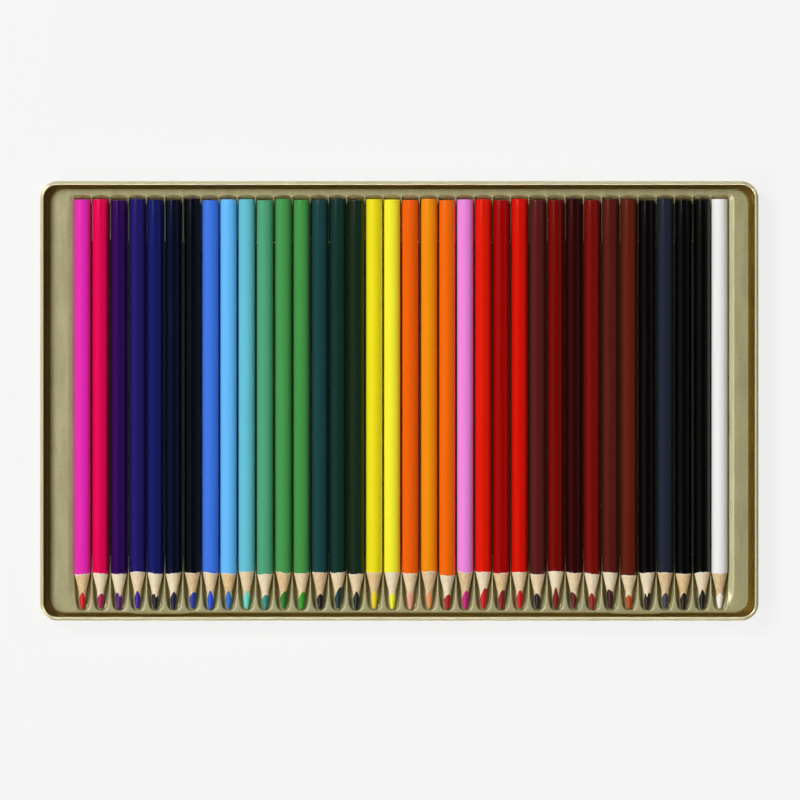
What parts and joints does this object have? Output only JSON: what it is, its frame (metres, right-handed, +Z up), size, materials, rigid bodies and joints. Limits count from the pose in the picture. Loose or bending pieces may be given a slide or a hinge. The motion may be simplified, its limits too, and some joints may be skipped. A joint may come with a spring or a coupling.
{
  "type": "coloured pencil tin",
  "caption": "Flat slip-lid tin, open, with a curled-rim tray, a formed plastic insert and one row of round sharpened coloured pencils; the lid is stowed upturned under the tray.",
  "frame": {"origin": "middle of the underside of the stowed lid's panel, where the tin stands on the desk", "axes": "+X along the tin's length, across the pencils; +Y along the pencils, towards their blunt ends; +Z up"},
  "size_m": [0.3054, 0.187, 0.0131],
  "materials": {
    "gold_tinplate": "clear gold lacquer on bright tinplate, glossy",
    "formed_gold_plastic": "vacuum-formed gold sheet, satin",
    "bare_wood": "sharpened bare wood",
    "hot_pink_lacquer": "hot pink lacquer on wood, glossy",
    "hot_pink_core": "hot pink waxy coloured core",
    "crimson_lacquer": "crimson lacquer on wood, glossy",
    "crimson_core": "crimson waxy coloured core",
    "purple_lacquer": "purple lacquer on wood, glossy",
    "purple_core": "purple waxy coloured core",
    "violet_blue_lacquer": "violet blue lacquer on wood, glossy",
    "violet_blue_core": "violet blue waxy coloured core",
    "navy_lacquer": "navy lacquer on wood, glossy",
    "navy_core": "navy waxy coloured core",
    "dark_navy_lacquer": "dark navy lacquer on wood, glossy",
    "dark_navy_core": "dark navy waxy coloured core",
    "blue_black_lacquer": "blue black lacquer on wood, glossy",
    "blue_black_core": "blue black waxy coloured core",
    "blue_lacquer": "blue lacquer on wood, glossy",
    "blue_core": "blue waxy coloured core",
    "light_blue_lacquer": "light blue lacquer on wood, glossy",
    "light_blue_core": "light blue waxy coloured core",
    "turquoise_lacquer": "turquoise lacquer on wood, glossy",
    "turquoise_core": "turquoise waxy coloured core",
    "sea_green_lacquer": "sea green lacquer on wood, glossy",
    "sea_green_core": "sea green waxy coloured core",
    "green_lacquer": "green lacquer on wood, glossy",
    "green_core": "green waxy coloured core",
    "leaf_green_lacquer": "leaf green lacquer on wood, glossy",
    "leaf_green_core": "leaf green waxy coloured core",
    "dark_teal_lacquer": "dark teal lacquer on wood, glossy",
    "dark_teal_core": "dark teal waxy coloured core",
    "dark_green_lacquer": "dark green lacquer on wood, glossy",
    "dark_green_core": "dark green waxy coloured core",
    "black_green_lacquer": "black green lacquer on wood, glossy",
    "black_green_core": "black green waxy coloured core",
    "yellow_lacquer": "yellow lacquer on wood, glossy",
    "yellow_core": "yellow waxy coloured core",
    "light_yellow_lacquer": "light yellow lacquer on wood, glossy",
    "light_yellow_core": "light yellow waxy coloured core",
    "vermilion_lacquer": "vermilion lacquer on wood, glossy",
    "vermilion_core": "vermilion waxy coloured core",
    "light_orange_lacquer": "light orange lacquer on wood, glossy",
    "light_orange_core": "light orange waxy coloured core",
    "orange_lacquer": "orange lacquer on wood, glossy",
    "orange_core": "orange waxy coloured core",
    "light_pink_lacquer": "light pink lacquer on wood, glossy",
    "light_pink_core": "light pink waxy coloured core",
    "red_lacquer": "red lacquer on wood, glossy",
    "red_core": "red waxy coloured core",
    "dark_red_lacquer": "dark red lacquer on wood, glossy",
    "dark_red_core": "dark red waxy coloured core",
    "signal_red_lacquer": "signal red lacquer on wood, glossy",
    "signal_red_core": "signal red waxy coloured core",
    "plum_lacquer": "plum lacquer on wood, glossy",
    "plum_core": "plum waxy coloured core",
    "ruby_lacquer": "ruby lacquer on wood, glossy",
    "ruby_core": "ruby waxy coloured core",
    "maroon_lacquer": "maroon lacquer on wood, glossy",
    "maroon_core": "maroon waxy coloured core",
    "brick_red_lacquer": "brick red lacquer on wood, glossy",
    "brick_red_core": "brick red waxy coloured core",
    "plum_brown_lacquer": "plum brown lacquer on wood, glossy",
    "plum_brown_core": "plum brown waxy coloured core",
    "brown_lacquer": "brown lacquer on wood, glossy",
    "brown_core": "brown waxy coloured core",
    "brown_black_lacquer": "brown black lacquer on wood, glossy",
    "brown_black_core": "brown black waxy coloured core",
    "slate_lacquer": "slate lacquer on wood, glossy",
    "slate_core": "slate waxy coloured core",
    "ink_black_lacquer": "ink black lacquer on wood, glossy",
    "ink_black_core": "ink black waxy coloured core",
    "black_lacquer": "black lacquer on wood, glossy",
    "black_core": "black waxy coloured core",
    "white_lacquer": "white lacquer on wood, glossy",
    "white_core": "white waxy coloured core"
  },
  "bodies": {
    "lid": {"lid": "gold_tinplate"},
    "tray": {"tray": "gold_tinplate"},
    "insert": {"insert": "formed_gold_plastic"},
    "pencil_01_hot_pink": {"pencil_01_hot_pink": "hot_pink_lacquer"},
    "pencil_02_crimson": {"pencil_02_crimson": "crimson_lacquer"},
    "pencil_03_purple": {"pencil_03_purple": "purple_lacquer"},
    "pencil_04_violet_blue": {"pencil_04_violet_blue": "violet_blue_lacquer"},
    "pencil_05_navy": {"pencil_05_navy": "navy_lacquer"},
    "pencil_06_dark_navy": {"pencil_06_dark_navy": "dark_navy_lacquer"},
    "pencil_07_blue_black": {"pencil_07_blue_black": "blue_black_lacquer"},
    "pencil_08_blue": {"pencil_08_blue": "blue_lacquer"},
    "pencil_09_light_blue": {"pencil_09_light_blue": "light_blue_lacquer"},
    "pencil_10_turquoise": {"pencil_10_turquoise": "turquoise_lacquer"},
    "pencil_11_sea_green": {"pencil_11_sea_green": "sea_green_lacquer"},
    "pencil_12_green": {"pencil_12_green": "green_lacquer"},
    "pencil_13_leaf_green": {"pencil_13_leaf_green": "leaf_green_lacquer"},
    "pencil_14_dark_teal": {"pencil_14_dark_teal": "dark_teal_lacquer"},
    "pencil_15_dark_green": {"pencil_15_dark_green": "dark_green_lacquer"},
    "pencil_16_black_green": {"pencil_16_black_green": "black_green_lacquer"},
    "pencil_17_yellow": {"pencil_17_yellow": "yellow_lacquer"},
    "pencil_18_light_yellow": {"pencil_18_light_yellow": "light_yellow_lacquer"},
    "pencil_19_vermilion": {"pencil_19_vermilion": "vermilion_lacquer"},
    "pencil_20_light_orange": {"pencil_20_light_orange": "light_orange_lacquer"},
    "pencil_21_orange": {"pencil_21_orange": "orange_lacquer"},
    "pencil_22_light_pink": {"pencil_22_light_pink": "light_pink_lacquer"},
    "pencil_23_red": {"pencil_23_red": "red_lacquer"},
    "pencil_24_dark_red": {"pencil_24_dark_red": "dark_red_lacquer"},
    "pencil_25_signal_red": {"pencil_25_signal_red": "signal_red_lacquer"},
    "pencil_26_plum": {"pencil_26_plum": "plum_lacquer"},
    "pencil_27_ruby": {"pencil_27_ruby": "ruby_lacquer"},
    "pencil_28_maroon": {"pencil_28_maroon": "maroon_lacquer"},
    "pencil_29_brick_red": {"pencil_29_brick_red": "brick_red_lacquer"},
    "pencil_30_plum_brown": {"pencil_30_plum_brown": "plum_brown_lacquer"},
    "pencil_31_brown": {"pencil_31_brown": "brown_lacquer"},
    "pencil_32_brown_black": {"pencil_32_brown_black": "brown_black_lacquer"},
    "pencil_33_slate": {"pencil_33_slate": "slate_lacquer"},
    "pencil_34_ink_black": {"pencil_34_ink_black": "ink_black_lacquer"},
    "pencil_35_black": {"pencil_35_black": "black_lacquer"},
    "pencil_36_white": {"pencil_36_white": "white_lacquer"}
  },
  "joints": [
    {"name": "tray_lift", "type": "slide", "parent": "lid", "child": "tray", "axis": [0, 0, 1], "range_m": [0, 0.02]},
    {"name": "insert_lift", "type": "slide", "parent": "tray", "child": "insert", "axis": [0, 0, 1], "range_m": [0, 0.025]},
    {"name": "pencil_01_hot_pink_lift", "type": "slide", "parent": "insert", "child": "pencil_01_hot_pink", "axis": [0, 0, 1], "range_m": [0, 0.03]},
    {"name": "pencil_02_crimson_lift", "type": "slide", "parent": "insert", "child": "pencil_02_crimson", "axis": [0, 0, 1], "range_m": [0, 0.03]},
    {"name": "pencil_03_purple_lift", "type": "slide", "parent": "insert", "child": "pencil_03_purple", "axis": [0, 0, 1], "range_m": [0, 0.03]},
    {"name": "pencil_04_violet_blue_lift", "type": "slide", "parent": "insert", "child": "pencil_04_violet_blue", "axis": [0, 0, 1], "range_m": [0, 0.03]},
    {"name": "pencil_05_navy_lift", "type": "slide", "parent": "insert", "child": "pencil_05_navy", "axis": [0, 0, 1], "range_m": [0, 0.03]},
    {"name": "pencil_06_dark_navy_lift", "type": "slide", "parent": "insert", "child": "pencil_06_dark_navy", "axis": [0, 0, 1], "range_m": [0, 0.03]},
    {"name": "pencil_07_blue_black_lift", "type": "slide", "parent": "insert", "child": "pencil_07_blue_black", "axis": [0, 0, 1], "range_m": [0, 0.03]},
    {"name": "pencil_08_blue_lift", "type": "slide", "parent": "insert", "child": "pencil_08_blue", "axis": [0, 0, 1], "range_m": [0, 0.03]},
    {"name": "pencil_09_light_blue_lift", "type": "slide", "parent": "insert", "child": "pencil_09_light_blue", "axis": [0, 0, 1], "range_m": [0, 0.03]},
    {"name": "pencil_10_turquoise_lift", "type": "slide", "parent": "insert", "child": "pencil_10_turquoise", "axis": [0, 0, 1], "range_m": [0, 0.03]},
    {"name": "pencil_11_sea_green_lift", "type": "slide", "parent": "insert", "child": "pencil_11_sea_green", "axis": [0, 0, 1], "range_m": [0, 0.03]},
    {"name": "pencil_12_green_lift", "type": "slide", "parent": "insert", "child": "pencil_12_green", "axis": [0, 0, 1], "range_m": [0, 0.03]},
    {"name": "pencil_13_leaf_green_lift", "type": "slide", "parent": "insert", "child": "pencil_13_leaf_green", "axis": [0, 0, 1], "range_m": [0, 0.03]},
    {"name": "pencil_14_dark_teal_lift", "type": "slide", "parent": "insert", "child": "pencil_14_dark_teal", "axis": [0, 0, 1], "range_m": [0, 0.03]},
    {"name": "pencil_15_dark_green_lift", "type": "slide", "parent": "insert", "child": "pencil_15_dark_green", "axis": [0, 0, 1], "range_m": [0, 0.03]},
    {"name": "pencil_16_black_green_lift", "type": "slide", "parent": "insert", "child": "pencil_16_black_green", "axis": [0, 0, 1], "range_m": [0, 0.03]},
    {"name": "pencil_17_yellow_lift", "type": "slide", "parent": "insert", "child": "pencil_17_yellow", "axis": [0, 0, 1], "range_m": [0, 0.03]},
    {"name": "pencil_18_light_yellow_lift", "type": "slide", "parent": "insert", "child": "pencil_18_light_yellow", "axis": [0, 0, 1], "range_m": [0, 0.03]},
    {"name": "pencil_19_vermilion_lift", "type": "slide", "parent": "insert", "child": "pencil_19_vermilion", "axis": [0, 0, 1], "range_m": [0, 0.03]},
    {"name": "pencil_20_light_orange_lift", "type": "slide", "parent": "insert", "child": "pencil_20_light_orange", "axis": [0, 0, 1], "range_m": [0, 0.03]},
    {"name": "pencil_21_orange_lift", "type": "slide", "parent": "insert", "child": "pencil_21_orange", "axis": [0, 0, 1], "range_m": [0, 0.03]},
    {"name": "pencil_22_light_pink_lift", "type": "slide", "parent": "insert", "child": "pencil_22_light_pink", "axis": [0, 0, 1], "range_m": [0, 0.03]},
    {"name": "pencil_23_red_lift", "type": "slide", "parent": "insert", "child": "pencil_23_red", "axis": [0, 0, 1], "range_m": [0, 0.03]},
    {"name": "pencil_24_dark_red_lift", "type": "slide", "parent": "insert", "child": "pencil_24_dark_red", "axis": [0, 0, 1], "range_m": [0, 0.03]},
    {"name": "pencil_25_signal_red_lift", "type": "slide", "parent": "insert", "child": "pencil_25_signal_red", "axis": [0, 0, 1], "range_m": [0, 0.03]},
    {"name": "pencil_26_plum_lift", "type": "slide", "parent": "insert", "child": "pencil_26_plum", "axis": [0, 0, 1], "range_m": [0, 0.03]},
    {"name": "pencil_27_ruby_lift", "type": "slide", "parent": "insert", "child": "pencil_27_ruby", "axis": [0, 0, 1], "range_m": [0, 0.03]},
    {"name": "pencil_28_maroon_lift", "type": "slide", "parent": "insert", "child": "pencil_28_maroon", "axis": [0, 0, 1], "range_m": [0, 0.03]},
    {"name": "pencil_29_brick_red_lift", "type": "slide", "parent": "insert", "child": "pencil_29_brick_red", "axis": [0, 0, 1], "range_m": [0, 0.03]},
    {"name": "pencil_30_plum_brown_lift", "type": "slide", "parent": "insert", "child": "pencil_30_plum_brown", "axis": [0, 0, 1], "range_m": [0, 0.03]},
    {"name": "pencil_31_brown_lift", "type": "slide", "parent": "insert", "child": "pencil_31_brown", "axis": [0, 0, 1], "range_m": [0, 0.03]},
    {"name": "pencil_32_brown_black_lift", "type": "slide", "parent": "insert", "child": "pencil_32_brown_black", "axis": [0, 0, 1], "range_m": [0, 0.03]},
    {"name": "pencil_33_slate_lift", "type": "slide", "parent": "insert", "child": "pencil_33_slate", "axis": [0, 0, 1], "range_m": [0, 0.03]},
    {"name": "pencil_34_ink_black_lift", "type": "slide", "parent": "insert", "child": "pencil_34_ink_black", "axis": [0, 0, 1], "range_m": [0, 0.03]},
    {"name": "pencil_35_black_lift", "type": "slide", "parent": "insert", "child": "pencil_35_black", "axis": [0, 0, 1], "range_m": [0, 0.03]},
    {"name": "pencil_36_white_lift", "type": "slide", "parent": "insert", "child": "pencil_36_white", "axis": [0, 0, 1], "range_m": [0, 0.03]}
  ]
}
